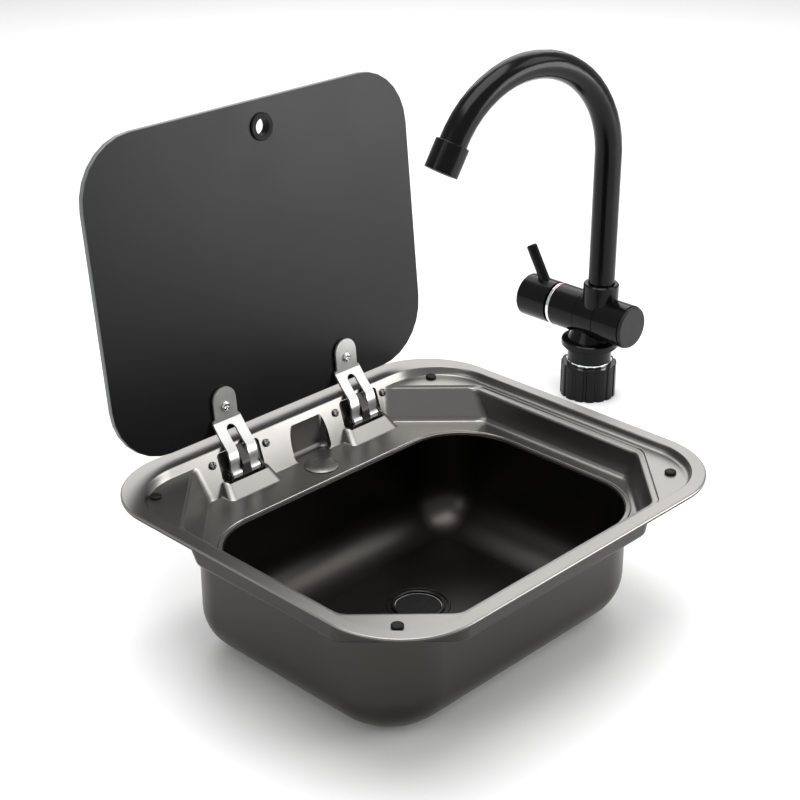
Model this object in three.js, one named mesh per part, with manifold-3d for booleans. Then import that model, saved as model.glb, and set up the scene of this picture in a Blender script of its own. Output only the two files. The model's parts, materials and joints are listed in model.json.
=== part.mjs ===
// A built-in caravan sink with a hinged glass lid, and the fold-down tap that belongs to it.
// Millimetres, +Z up. X runs along the sink's front edge, Y towards the hinges.
// The origin lies under the middle of the flange, on the surface that the bowl and the tap stand on.

import * as THREE from 'three';
import { mergeVertices } from 'three/addons/utils/BufferGeometryUtils.js';
import Module from 'manifold-3d';

const wasm = await Module();
wasm.setup();

// ---------------------------------------------------------------- driving dimensions

// Fits used all over
const seat = 0.3;                 // gap between a piece and what it rests on
const bore = 0.3;                 // radial clearance of a shaft in its hole
const past = 1;                   // how far a cutter runs past the face it cuts
const arcSteps = 7;               // facets in each rounded corner of the pressings
const fine = 26;                  // sides of the large round pieces
const coarse = 16;                // sides of the small ones

// Sheet and flange
const sheet = 1.2;
const sinkHeight = 145;           // flange top above the surface the bowl stands on
const flangeLength = 420;
const flangeWidth = 375.2;
const flangeCorner = 74;
const rimDrop = 3;                // turned-down edge of the flange
const rimRound = 0.9;

// Recess that the lid closes into
const flangeSide = 12.5;          // flat of the flange beside the recess
const flangeFront = 13.9;
const flangeBack = 25.2;
const recessCorner = 60;
const ledgeDepth = 8;
const recessRound = 3.2;          // rounding between the recess's wall and the ledge
const recessLip = { widens: 0.6, depth: 1 };  // flare of the recess's mouth at the flange

// Eight-sided well inside the ledge
const ledgeSide = 6.5;
const ledgeBead = 1.5;            // slanting edge between the ledge and its second step
const stepDepth = 2;              // small second step of the ledge
const stepWidth = 6.5;
const stepRound = 1.4;
const deckDepth = 40;
const wallLean = 0.5;             // how far the well's wall leans in down to the deck
const footRound = 2.5;            // rounding between that wall and the deck
const frontLeg = 68;              // length that a corner facet cuts off each side
const backRightFlat = 3.35;       // flat slope between the right hinge base and its facet
const backLeftFlat = 16.75;
const facetLean = 5.7;            // extra cut of the facets at the deck
const slopeStart = 2;             // depth at which the back wall starts to slope
const slopeRun = 13.3;            // how far the back wall comes forward down to the deck
const wellCorner = 7;

// Bay of the tap-hole plug
const bayLeft = 58.75;            // bay's sides, from the left and the right hinge's middle
const bayRight = 45.15;
const bayReach = 12;              // how far the bay goes back behind the foot of the slope
const bayForward = 24.1;          // and how far in front of it, over the deck
const bayTop = 7;
const bayCorner = 8;

// Bowl
const mouthSide = 16.5;           // deck beside the bowl's mouth
const mouthFront = 27.3;
const mouthBack = 48;
const mouthCorner = 60;
const mouthEdge = 1;              // the deck's cut edge stands back from the bowl's wall
const bead = { inset: 3.9, width: 1.3, height: 0.6 };
const bowlFlange = 5;
const bowlFlangeThick = 1.5;
const shoulderDepth = 43;         // where the bowl's back wall starts to swell under the deck
const shoulderHeight = 16;
const backSwell = 21;
const bowlBackCorner = 46;
const bowlFillet = 42;

// Drain, in the bowl's floor
const drainX = 19;
const drainY = 15;
const drainHole = 21.5;
const drainLip = { inner: 21.5, outer: 24.6, height: 1.6 };
const drainBead = { inner: 27, outer: 29.5, height: 0.8 };

// Corner bumpers
const bumperInset = { x: 40, y: 44.6 };  // from the flange's ends and from its long edges
const bumper = { head: 5.2, stem: 2.9, foot: 4.4, footThick: 1.6 };

// Tap-hole plug
const plugOffset = { x: -2.4, y: -19.1 };  // from the hinges' middle and the foot of the slope
const plug = { cap: 16, dome: 3, hole: 12, stud: 4, studLength: 10 };
const plugWasher = { radius: 13.5, thick: 1.5 };
const plugNut = { radius: 8, thick: 5 };

// Lid
const lidThick = 5;
const lidLeftGap = 17.1;          // recess wall to lid edge
const lidRightGap = 4.3;
const lidFrontGap = 9;
const lidCorner = 56;
const lidBevel = 0.6;
const lidOpening = 95.97;         // degrees from lying closed to standing open
const fingerX = 15.1;
const fingerInset = 24.6;         // finger hole's centre behind the lid's front edge
const fingerHole = 7.5;
const grommet = { flange: 12.5, groove: 10.2, proud: 1.8 };

// Hinges
const hingeShare = { left: -0.1494, right: 0.2075 };  // hinge centres, as shares of the flange's length
const pinInset = 9.7;             // pin in front of the recess's back edge
const pinDepth = 25;              // pin below the flange top
const pinRadius = 2.5;
const pinHead = { radius: 3.1, thick: 1.2 };
const lidToPin = 32.7;            // closed lid's rear edge in front of the pin
const slotHalf = 24.5;
const slotTop = 4;
const pocketDepth = 28;           // rim of the pocket in front of the pin
const pocketReach = 14;           // pocket's foot in front of the foot of the slope
const pocketLean = 12;            // how far its front leans back up to the rim
const pocketHalf = 30;
const pocketTaper = 4;
const pocketCorner = 3;
const slotDrop = 1.7;             // slot's lower edge below the pocket's rim

// Lid bracket, a cranked plate with two arms
const bracketThick = 2;
const padThick = 0.5;
const plateHalf = 13;
const plateReach = 42.6;          // plate's round end in front of the lid's rear edge
const bendReach = 11.5;           // bend in front of the lid's rear edge
const armHalf = 16;
const armOverlap = 3;             // arms reach this far past the bend
const armCorner = 2.5;
const armSlotHalf = 5.3;
const armSlotInset = 3.5;         // slot's round end behind the bend
const knuckle = 4;
// Bends of the arms: distance behind the lid's rear edge and drop below the plate
const crank = { knee: [-0.1, 7.5], heel: [10.9, 16.6], sole: [19.7, 18.6], toe: [26.7, 18.3] };
const bracketScrewReach = 24.5;
const lidScrew = { head: 4.6, headThick: 2.1, shank: 2 };
const lidCap = { radius: 9, thick: 2.8, rim: 1, shoulder: 2, dome: 0.3 };

// Hinge base behind the sloped wall
const baseHalf = 37.5;
const baseThick = 2;
const baseTop = 5;
const baseBottom = 36;
const windowTop = 8;
const windowBottom = 33;
const windowReach = 9;
const cheekGap = 0.5;
const cheekThick = 2;
const cheekRound = 5;
const cheekDrop = 1.4;            // how far the cheeks fall towards the plate
const cheekTail = 3;              // how far they run on behind the recess's back edge
const leafHalf = 4.5;
const leafThick = 1.4;
const leafTop = 3;
const leafHook = { low: [-3, 1.5], high: [-3, 7], bend: [-1.5, 11] };  // about the pin
const baseScrewOffset = 31.5;
const baseScrewDepth = 12;
const baseScrew = { head: 3.8, headThick: 2, shank: 2, length: 8.5 };
const baseNut = { radius: 4, thick: 3 };

// Tap: place, lock nut, shank and body
const tapX = 486;
const tapY = 192.4;
const lockNut = { radius: 31.5, rib: 1.7, ribs: 15, land: 0.62, flank: 0.1, height: 39 };
const thrustRing = { radius: 25.5, thick: 3.4 };
const shank = { radius: 17.2, waterway: 11, foot: 1, roof: 5 };
const neck = { radius: 24.8, height: 15 };
const gasket = { radius: 30, inner: 12, thick: 2.4 };
const baseDisc = { radius: 32.5, height: 7, round: 1.3 };
const cone = { foot: 25, top: 20.5, height: 12 };
const barrelRadius = 24.6;
const barrelRise = 28;            // barrel's axis above the base disc
const barrelRear = 43;            // rear end of the fixed barrel behind the base's axis
const foldSeam = 9.5;             // seam between the fixed and the folding barrel
const seamGap = 0.4;

// Tap: folding section and spout
const collar = { offset: -11.7, radius: 19.9, rise: 41.4, round: 1.5 };
const foldFront = -53.2;
const endDisc = { radius: 23.4, thick: 4, round: 1.2 };
const axle = { radius: 7.7, reach: 10.5, length: 24 };
const tube = { radius: 14.8, waterway: 11 };
const tubeSocket = 25.5;          // depth of the collar's socket
const legTop = 284.3;             // where the straight leg ends and the swan neck starts
const neckBend = 115.2;
const neckSweep = 150.5;          // degrees
const neckTail = 20;
const spoutTurn = -7.7;           // spout as photographed, degrees
const outlet = { radius: 18, length: 31.4, socket: 15.4, pocket: 14, pocketDepth: 8, throat: 10 };
const aerator = { radius: 13.6, thick: 5, jet: 1.6, jets: 8, ring: 8.5 };

// Tap: handle
const indicator = { radius: 24.9, inner: 18.3, thick: 3.5 };
const cartridge = { radius: 17.7, inside: 17.5, recessed: 0.5 };
const handleGap = 3.5;            // dark gap that lets the cap tilt
const stem = { radius: 9, length: 15 };
const capLength = 42;
const capMouth = 13;
const capMouthDepth = 17;
const capRound = 2.5;
const pivotPin = { radius: 1.8, half: 20 };
const lever = { radius: 6.2, length: 44, lean: 30.6, along: 18, rise: 22, socket: 7, round: 1.5 };

// ---------------------------------------------------------------- materials

const gunmetal = { color: 0x7f7f7d, roughness: 0.32, metalness: 1 };
const brightSteel = { color: 0xc9c9c6, roughness: 0.28, metalness: 1 };
const chromed = { color: 0xe2e4e6, roughness: 0.08, metalness: 1 };
const darkGlass = { color: 0x1d1e20, roughness: 0.12, metalness: 0 };
const rubber = { color: 0x151515, roughness: 0.8, metalness: 0 };
const satinBlack = { color: 0x141416, roughness: 0.35, metalness: 0.2 };
const greyPlastic = { color: 0x3a3b3d, roughness: 0.5, metalness: 0 };

// ---------------------------------------------------------------- geometry helpers

const up = depth => sinkHeight - depth;
const radians = THREE.MathUtils.degToRad;
const degrees = THREE.MathUtils.radToDeg;

function signedVolume(geometry) {
  const { array } = geometry.getAttribute('position');
  const index = geometry.getIndex().array;
  const corner = k => new THREE.Vector3().fromArray(array, 3 * index[k]);
  let sum = 0;
  for (let k = 0; k < index.length; k += 3) {
    sum += corner(k).dot(corner(k + 1).cross(corner(k + 2)));
  }
  return sum / 6;
}

// A closed geometry as a solid; its faces are turned outwards first.
function solid(source) {
  const bare = source.clone();
  bare.deleteAttribute('normal');
  bare.deleteAttribute('uv');
  const welded = mergeVertices(bare, 1e-4);
  const triVerts = new Uint32Array(welded.getIndex().array);
  if (signedVolume(welded) < 0) {
    triVerts.reverse();
  }
  const vertProperties = new Float32Array(welded.getAttribute('position').array);
  return new wasm.Manifold(new wasm.Mesh({ numProp: 3, vertProperties, triVerts }));
}

function surface(body) {
  const { vertProperties, triVerts } = body.getMesh();
  const geometry = new THREE.BufferGeometry();
  geometry.setAttribute('position', new THREE.BufferAttribute(vertProperties, 3));
  geometry.setIndex(new THREE.BufferAttribute(triVerts, 1));
  geometry.computeVertexNormals();
  return geometry;
}

const joined = bodies => bodies.reduce((sum, body) => sum.add(body));
const cut = (body, tools) => tools.reduce((rest, tool) => rest.subtract(tool), body);

function piece(name, body, look) {
  const mesh = new THREE.Mesh(surface(body), new THREE.MeshStandardMaterial(look));
  mesh.name = name;
  return mesh;
}

// Rounds the corners of a convex loop that runs anticlockwise; each corner takes its own radius.
function filletLoop(corners, radii, steps = arcSteps) {
  const points = [];
  corners.forEach((corner, k) => {
    const before = corners[(k + corners.length - 1) % corners.length];
    const after = corners[(k + 1) % corners.length];
    const toBefore = before.clone().sub(corner).normalize();
    const toAfter = after.clone().sub(corner).normalize();
    const half = Math.acos(THREE.MathUtils.clamp(toBefore.dot(toAfter), -1, 1)) / 2;
    const centre = toBefore.clone().add(toAfter).normalize().multiplyScalar(radii[k] / Math.sin(half));
    centre.add(corner);
    const start = corner.clone().addScaledVector(toBefore, radii[k] / Math.tan(half)).sub(centre);
    const turn = Math.PI - 2 * half;
    for (let step = 0; step <= steps; step += 1) {
      points.push(start.clone().rotateAround(new THREE.Vector2(), (turn * step) / steps).add(centre));
    }
  });
  return points;
}

// A rectangle with rounded corners, grown outwards by a distance.
function roundedBox(box, grow = 0, steps = arcSteps) {
  const left = box.left - grow;
  const right = box.right + grow;
  const front = box.front - grow;
  const back = box.back + grow;
  const frontRadius = Math.max(box.corner + grow, 0.5);
  const backRadius = Math.max((box.backCorner ?? box.corner) + grow, 0.5);
  const corners = [[right, front], [right, back], [left, back], [left, front]];
  const radii = [frontRadius, backRadius, backRadius, frontRadius];
  return filletLoop(corners.map(([x, y]) => new THREE.Vector2(x, y)), radii, steps);
}

// A closed solid through level loops of equal length, listed from the lowest up.
function stack(levels) {
  const count = levels[0].loop.length;
  const positions = [];
  const triangles = [];
  levels.forEach(({ loop, z }) => loop.forEach(point => positions.push(point.x, point.y, z)));
  for (let level = 0; level < levels.length - 1; level += 1) {
    for (let k = 0; k < count; k += 1) {
      const here = level * count + k;
      const next = level * count + ((k + 1) % count);
      triangles.push(here, next, next + count, here, next + count, here + count);
    }
  }
  const closeEnd = (level, flip) => {
    const centre = positions.length / 3;
    const middle = new THREE.Vector2();
    levels[level].loop.forEach(point => middle.addScaledVector(point, 1 / count));
    positions.push(middle.x, middle.y, levels[level].z);
    for (let k = 0; k < count; k += 1) {
      const here = level * count + k;
      const next = level * count + ((k + 1) % count);
      triangles.push(centre, flip ? next : here, flip ? here : next);
    }
  };
  closeEnd(0, true);
  closeEnd(levels.length - 1, false);
  const geometry = new THREE.BufferGeometry();
  geometry.setAttribute('position', new THREE.Float32BufferAttribute(positions, 3));
  geometry.setIndex(triangles);
  return solid(geometry);
}

const prism = (loop, low, high) => stack([{ loop, z: low }, { loop, z: high }]);

// A turned piece about Z; the profile holds [radius, height] pairs and closes on itself or on the axis.
function turned(profile, segments = fine) {
  const closed = profile[0][0] > 0;
  const points = profile.map(([radius, height]) => new THREE.Vector2(radius, height));
  if (closed) {
    points.push(points[0].clone());
  }
  return solid(new THREE.LatheGeometry(points, segments).rotateX(Math.PI / 2));
}

const rod = (radius, low, high, segments = coarse) =>
  turned([[0, low], [radius, low], [radius, high], [0, high]], segments);

const ring = (inner, outer, low, high, segments = fine) =>
  turned([[inner, low], [outer, low], [outer, high], [inner, high]], segments);

// Turns a piece that was made about Z so that it lies along X or along Y.
const alongX = body => body.rotate([0, 90, 0]);
const alongY = body => body.rotate([-90, 0, 0]);

// A section drawn in (y, z) and drawn out along X on both sides of a centre.
function drawnAlongX(section, half, centre = 0) {
  const shape = new THREE.Shape(section.map(([y, z]) => new THREE.Vector2(y, z)));
  const geometry = new THREE.ExtrudeGeometry(shape, { depth: 2 * half, bevelEnabled: false });
  const axes = new THREE.Matrix4().makeBasis(
    new THREE.Vector3(0, 1, 0),
    new THREE.Vector3(0, 0, 1),
    new THREE.Vector3(1, 0, 0),
  );
  geometry.translate(0, 0, -half).applyMatrix4(axes).translate(centre, 0, 0);
  return solid(geometry);
}

// The outline of a bent strip of even thickness about a centre line.
function stripOutline(line, thickness) {
  const points = line.map(([y, z]) => new THREE.Vector2(y, z));
  const offsets = points.map((point, k) => {
    const before = points[Math.max(k - 1, 0)];
    const after = points[Math.min(k + 1, points.length - 1)];
    const into = point.clone().sub(before).normalize();
    const out = after.clone().sub(point).normalize();
    const along = into.lengthSq() === 0 ? out : out.lengthSq() === 0 ? into : into.add(out).normalize();
    const across = new THREE.Vector2(-along.y, along.x);
    const reach = k > 0 && k < points.length - 1
      ? 1 / across.dot(new THREE.Vector2(-out.y, out.x))
      : 1;
    return across.multiplyScalar((thickness / 2) * reach);
  });
  const upper = points.map((point, k) => point.clone().add(offsets[k]));
  const lower = points.map((point, k) => point.clone().sub(offsets[k])).reverse();
  return [...upper, ...lower].map(point => [point.x, point.y]);
}

const circleLoop = (radius, count) => Array.from({ length: count }, (_, k) =>
  new THREE.Vector2(radius, 0).rotateAround(new THREE.Vector2(), (k * 2 * Math.PI) / count));

const nut = (radius, hole, low, high) =>
  prism(circleLoop(radius, 6), low, high).subtract(rod(hole, low - past, high + past, 10));

// A pan-head cross-head screw about Z: head above zero, shank below.
function crossHeadScrew({ head, headThick, shank: shankRadius }, length) {
  const recess = { half: head * 0.55, arm: 0.55, depth: headThick * 0.6 };
  const body = turned([
    [0, -length], [shankRadius, -length], [shankRadius, 0], [head, 0], [head, headThick * 0.45],
    [head * 0.75, headThick * 0.9], [0, headThick],
  ], 12);
  const arm = new THREE.BoxGeometry(2 * recess.half, 2 * recess.arm, 2 * recess.depth);
  const first = solid(arm.translate(0, 0, headThick));
  return cut(body, [first, first.rotate([0, 0, 90])]);
}

// ---------------------------------------------------------------- sink: shared outlines

const recess = {
  left: -(flangeLength / 2 - flangeSide),
  right: flangeLength / 2 - flangeSide,
  front: -(flangeWidth / 2 - flangeFront),
  back: flangeWidth / 2 - flangeBack,
  corner: recessCorner,
};

// Back wall of the well: upright at first, then sloping forward down to the deck.
const slopeTilt = Math.atan2(slopeRun, deckDepth - slopeStart);
const slopeY = depth => recess.back - Math.max(depth - slopeStart, 0) * Math.tan(slopeTilt);
const deckBack = slopeY(deckDepth);

// A point on the sloped wall, or behind it by a distance square to the wall.
const onSlope = (depth, behind = 0) => [
  slopeY(depth) + behind * Math.cos(slopeTilt),
  up(depth) - behind * Math.sin(slopeTilt),
];
const slopeSheet = sheet * (Math.cos(slopeTilt) + Math.sin(slopeTilt));

const hingeCentres = [hingeShare.left * flangeLength, hingeShare.right * flangeLength];
const hingeMiddle = (hingeCentres[0] + hingeCentres[1]) / 2;
const backRightLeg = recess.right - ledgeSide - hingeCentres[1] - baseHalf - backRightFlat;
const backLeftLeg = recess.right - ledgeSide + hingeCentres[0] - baseHalf - backLeftFlat;
const plugPlace = [hingeMiddle + plugOffset.x, deckBack + plugOffset.y, 0];

const wellFoot = stepWidth + wallLean + footRound;
const deckSide = recess.right - ledgeSide - wellFoot;

const mouth = {
  left: mouthSide - deckSide,
  right: deckSide - mouthSide,
  front: recess.front + ledgeSide + wellFoot + mouthFront,
  back: deckBack - mouthBack,
  corner: mouthCorner,
};

// ---------------------------------------------------------------- sink: top pan

// Eight-sided loop of the well; `inset` runs in from the ledge's bead line, `lean` widens the facets.
function wellLoop(inset, depth, lean, grow) {
  const half = recess.right - ledgeSide - inset + grow;
  const front = recess.front + ledgeSide + inset - grow;
  const back = slopeY(depth) + grow;
  const legs = [frontLeg, backRightLeg, backLeftLeg, frontLeg].map(
    leg => leg + lean - (2 - Math.SQRT2) * (inset - grow),
  );
  const corners = [
    [half - legs[0], front], [half, front + legs[0]],
    [half, back - legs[1]], [half - legs[1], back],
    [legs[2] - half, back], [-half, back - legs[2]],
    [-half, front + legs[3]], [legs[3] - half, front],
  ].map(([x, y]) => new THREE.Vector2(x, y));
  return filletLoop(corners, corners.map(() => wellCorner), 3);
}

function wellTub(grow) {
  const step = ledgeDepth + stepDepth;
  const profile = [
    { inset: wellFoot, depth: deckDepth, lean: facetLean },
    { inset: wellFoot - 0.56 * footRound, depth: deckDepth - 0.28 * footRound, lean: facetLean },
    { inset: wellFoot - footRound, depth: deckDepth - footRound, lean: facetLean },
    { inset: stepWidth, depth: step + stepRound, lean: 0 },
    { inset: stepWidth - 0.64 * stepRound, depth: step + 0.21 * stepRound, lean: 0 },
    { inset: ledgeBead, depth: step, lean: 0 },
    { inset: 0, depth: ledgeDepth, lean: 0 },
  ];
  const levels = profile.map(({ inset, depth, lean }) => ({
    loop: wellLoop(inset, depth, lean, grow),
    z: up(depth + grow),
  }));
  levels.push({ loop: wellLoop(0, ledgeDepth, 0, grow), z: up(ledgeDepth - past) });
  return stack(levels);
}

function recessTub(grow, top) {
  const profile = [
    [recessRound, ledgeDepth], [0.38 * recessRound, ledgeDepth - 0.22 * recessRound],
    [0.09 * recessRound, ledgeDepth - 0.75 * recessRound], [0, recessLip.depth], [-recessLip.widens, 0],
  ];
  const loopAt = (inset, depth) => roundedBox(
    {
      ...recess,
      left: recess.left + inset,
      right: recess.right - inset,
      front: recess.front + inset,
      back: Math.min(slopeY(depth), recess.back) - Math.min(inset, 0),
      corner: recess.corner - inset,
    },
    grow,
  );
  const levels = profile.map(([inset, depth]) => ({ loop: loopAt(inset, depth), z: up(depth + grow) }));
  levels.push({ loop: loopAt(-recessLip.widens, 0), z: up(top) });
  return stack(levels);
}

function plugBay(grow) {
  const box = {
    left: hingeCentres[0] + bayLeft,
    right: hingeCentres[1] - bayRight,
    front: deckBack - bayForward,
    back: deckBack + bayReach,
    corner: bayCorner,
  };
  const loop = roundedBox(box, grow, 4);
  return prism(loop, up(deckDepth + grow), up(bayTop - grow));
}

// The space behind a hinge pocket's front, which stands forward from the foot of the slope.
function pocket(centre, grow) {
  const foot = deckBack - pocketReach;
  const loopAt = (half, front) => roundedBox(
    { left: centre - half, right: centre + half, front, back: flangeWidth / 2, corner: pocketCorner },
    -grow,
    2,
  );
  return stack([
    { loop: loopAt(pocketHalf, foot), z: up(deckDepth + sheet + past) },
    { loop: loopAt(pocketHalf, foot), z: up(deckDepth) },
    { loop: loopAt(pocketHalf - pocketTaper, foot + pocketLean), z: up(pocketDepth + grow) },
  ]);
}

function flangePlate() {
  const outline = {
    left: -flangeLength / 2,
    right: flangeLength / 2,
    front: -flangeWidth / 2,
    back: flangeWidth / 2,
    corner: flangeCorner,
  };
  const outside = stack([
    { loop: roundedBox(outline), z: up(rimDrop) },
    { loop: roundedBox(outline), z: up(rimRound) },
    { loop: roundedBox(outline, -rimRound), z: up(0) },
  ]);
  const underside = prism(roundedBox(outline, -sheet), up(rimDrop + past), up(sheet));
  return outside.subtract(underside);
}

// A cutter that runs square through the sloped wall at a hinge.
const throughSlope = (x, depth, radius) => {
  const reach = 10 * sheet;
  const square = [-90 - degrees(slopeTilt), 0, 0];
  return rod(radius, -reach, reach, 16).rotate(square).translate([x, ...onSlope(depth)]);
};

function hingeSlot(centre) {
  const front = deckBack - 3 * past;
  const back = flangeWidth / 2;
  const low = up(pocketDepth + slotDrop);
  const section = [[front, low], [back, low], [back, up(slotTop)], [front, up(slotTop)]];
  return drawnAlongX(section, slotHalf, centre);
}

const bumperPlaces = [[1, 1], [1, -1], [-1, -1], [-1, 1]].map(
  ([x, y]) => [x * (flangeLength / 2 - bumperInset.x), y * (flangeWidth / 2 - bumperInset.y)],
);

function topPan() {
  const cavity = grow => cut(
    joined([wellTub(grow), plugBay(grow)]),
    hingeCentres.map(centre => pocket(centre, grow)),
  );
  const pressed = joined([flangePlate(), recessTub(sheet, 0), cavity(sheet)]);
  const opened = cut(pressed, [recessTub(0, -past), cavity(0)]);
  const beadLoop = reach => roundedBox(mouth, reach);
  const beadTop = up(deckDepth - bead.height);
  const beadRing = prism(beadLoop(bead.inset + bead.width), up(deckDepth + sheet / 2), beadTop)
    .subtract(prism(beadLoop(bead.inset), up(deckDepth + sheet), beadTop + past));
  const bumperHole = rod(bumper.stem + bore, up(ledgeDepth + sheet + past), up(ledgeDepth - past), 16);
  const deckCut = [up(deckDepth + sheet + past), beadTop + past];
  const cutters = [
    prism(roundedBox(mouth, mouthEdge), ...deckCut),
    rod(plug.hole, ...deckCut).translate(plugPlace),
    ...hingeCentres.map(hingeSlot),
    ...bumperPlaces.map(([x, y]) => bumperHole.translate([x, y, 0])),
    ...hingeCentres.flatMap(centre => [-1, 1].map(
      side => throughSlope(centre + side * baseScrewOffset, baseScrewDepth, baseScrew.shank + bore),
    )),
  ];
  return piece('sink_top_pan', cut(opened.add(beadRing), cutters), gunmetal);
}

// ---------------------------------------------------------------- sink: bowl

function bowlBody(grow, top) {
  const floorDepth = sinkHeight - sheet;
  const low = { ...mouth, back: mouth.back + backSwell, backCorner: bowlBackCorner };
  const levels = [];
  const filletSteps = 5;
  for (let k = 0; k <= filletSteps; k += 1) {
    const angle = (k / filletSteps) * (Math.PI / 2);
    const inset = bowlFillet * (1 - Math.sin(angle));
    const depth = floorDepth - bowlFillet * (1 - Math.cos(angle));
    levels.push({ loop: roundedBox(low, grow - inset), z: up(depth + grow) });
  }
  const swellSteps = 3;
  for (let k = 0; k <= swellSteps; k += 1) {
    const angle = (k / swellSteps) * (Math.PI / 2);
    const swell = backSwell * Math.cos(angle);
    const share = swell / backSwell;
    const backCorner = mouthCorner + (bowlBackCorner - mouthCorner) * share;
    const loop = roundedBox({ ...mouth, back: mouth.back + swell, backCorner }, grow);
    levels.push({ loop, z: up(shoulderDepth + shoulderHeight * (1 - Math.sin(angle))) });
  }
  levels.push({ loop: roundedBox({ ...mouth, backCorner: mouthCorner }, grow), z: up(top) });
  return stack(levels);
}

function bowl() {
  const top = deckDepth + sheet;
  const flange = prism(roundedBox(mouth, bowlFlange), up(top + bowlFlangeThick), up(top));
  const shell = joined([bowlBody(sheet, top), flange]).subtract(bowlBody(0, top - past));
  const pressedRing = ({ inner, outer, height }) =>
    ring(inner, outer, sheet / 2, sheet + height, fine).translate([drainX, drainY, 0]);
  const drain = rod(drainHole, -past, sheet + drainLip.height + past, fine).translate([drainX, drainY, 0]);
  const body = joined([shell, pressedRing(drainLip), pressedRing(drainBead)]).subtract(drain);
  return piece('sink_bowl', body, gunmetal);
}

// ---------------------------------------------------------------- sink: small pieces

function bumperPieces() {
  const top = up(lidThick + seat);
  const ledge = up(ledgeDepth);
  const under = ledge - sheet - seat;
  const body = turned([
    [0, under - bumper.footThick], [bumper.foot - 0.8, under - bumper.footThick], [bumper.foot, under],
    [bumper.stem, under], [bumper.stem, ledge + seat], [bumper.head, ledge + seat],
    [bumper.head, top - 0.8], [bumper.head - 1.2, top], [0, top],
  ], 12);
  const names = ['back_right', 'front_right', 'front_left', 'back_left'];
  return names.map((name, k) => {
    const mesh = piece(`bumper_${name}`, body, rubber);
    mesh.position.set(...bumperPlaces[k], 0);
    return mesh;
  });
}

function plugPieces() {
  const deck = up(deckDepth);
  const under = deck - sheet;
  const cap = turned([
    [0, deck - plug.studLength], [plug.stud, deck - plug.studLength], [plug.stud, deck + seat],
    [plug.cap, deck + seat], [plug.cap, deck + 1], [plug.cap * 0.8, deck + plug.dome * 0.8],
    [plug.cap * 0.45, deck + plug.dome], [0, deck + plug.dome],
  ], fine);
  const washerTop = under - seat;
  const washerBottom = washerTop - plugWasher.thick;
  const washer = ring(plug.stud + bore, plugWasher.radius, washerBottom, washerTop);
  const nutTop = washerBottom - seat;
  const lockingNut = nut(plugNut.radius, plug.stud + bore, nutTop - plugNut.thick, nutTop);
  const meshes = [
    piece('tap_hole_plug', cap, gunmetal),
    piece('tap_hole_washer', washer, rubber),
    piece('tap_hole_nut', lockingNut, brightSteel),
  ];
  meshes.forEach(mesh => mesh.position.set(...plugPlace));
  return meshes;
}

// ---------------------------------------------------------------- hinge: fixed pieces

const pin = { y: recess.back - pinInset, z: up(pinDepth) };

function hingeBase() {
  const near = slopeSheet + seat;
  const far = near + baseThick;
  const plate = drawnAlongX(
    [onSlope(baseTop, near), onSlope(baseBottom, near), onSlope(baseBottom, far), onSlope(baseTop, far)],
    baseHalf,
  );
  const window = drawnAlongX(
    [
      onSlope(windowTop, -windowReach), onSlope(windowBottom, -windowReach),
      onSlope(windowBottom, windowReach), onSlope(windowTop, windowReach),
    ],
    armHalf + cheekGap / 2,
  );
  const reach = pinInset + cheekTail;
  const arm = [
    [0, -cheekRound], [reach, -cheekRound - cheekDrop], [reach, cheekRound - cheekDrop], [0, cheekRound],
  ];
  const cheeks = [-1, 1].map(side => {
    const centre = side * (armHalf + cheekGap + cheekThick / 2);
    const bar = drawnAlongX(arm.map(([y, z]) => [pin.y + y, pin.z + z]), cheekThick / 2, centre);
    const eye = alongX(rod(cheekRound, centre - cheekThick / 2, centre + cheekThick / 2));
    return bar.add(eye.translate([0, pin.y, pin.z]));
  });
  const trimEnd = baseBottom + windowReach;
  const trimBack = far + baseBottom;
  const trim = drawnAlongX(
    [onSlope(baseTop, far), onSlope(trimEnd, far), onSlope(trimEnd, trimBack), onSlope(baseTop, trimBack)],
    baseHalf,
  );
  const pinHole = alongX(rod(pinRadius + bore, -baseHalf, baseHalf, 16)).translate([0, pin.y, pin.z]);
  const screwHoles = [-1, 1].map(
    side => throughSlope(side * baseScrewOffset, baseScrewDepth, baseScrew.shank + bore),
  );
  return cut(joined([plate.subtract(window), ...cheeks]), [trim, pinHole, ...screwHoles]);
}

function hingePin() {
  const half = armHalf + cheekGap + cheekThick + seat;
  const end = half + pinHead.thick;
  const heads = [rod(pinHead.radius, half, end, 16), rod(pinHead.radius, -end, -half, 16)];
  const body = joined([rod(pinRadius, -half - 0.5, half + 0.5, 16), ...heads]);
  return alongX(body).translate([0, pin.y, pin.z]);
}

// The leaf between the arms hooks round the pin and leans on the recess's back wall.
function hingeLeaf() {
  const lean = leafThick * 0.75 + seat;
  const line = Object.values(leafHook).map(([y, z]) => [pin.y + y, pin.z + z]);
  line.push([slopeY(leafTop) - lean, up(leafTop)]);
  const strip = drawnAlongX(stripOutline(line, leafThick), leafHalf);
  const eye = alongX(rod(knuckle, -leafHalf, leafHalf)).translate([0, pin.y, pin.z]);
  const hole = alongX(rod(pinRadius + bore, -leafHalf - past, leafHalf + past, 16));
  return strip.add(eye).subtract(hole.translate([0, pin.y, pin.z]));
}

function baseScrews(centre, side) {
  const tilt = [90 - degrees(slopeTilt), 0, 0];
  const [y, z] = onSlope(baseScrewDepth);
  const screw = crossHeadScrew(baseScrew, baseScrew.length).translate([0, 0, seat]).rotate(tilt);
  const nutTop = -(slopeSheet + seat + baseThick + seat);
  const backNut = nut(baseNut.radius, baseScrew.shank + bore, nutTop - baseNut.thick, nutTop).rotate(tilt);
  const place = [side * baseScrewOffset + centre, y, z];
  return [screw.translate(place), backNut.translate(place)];
}

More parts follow.
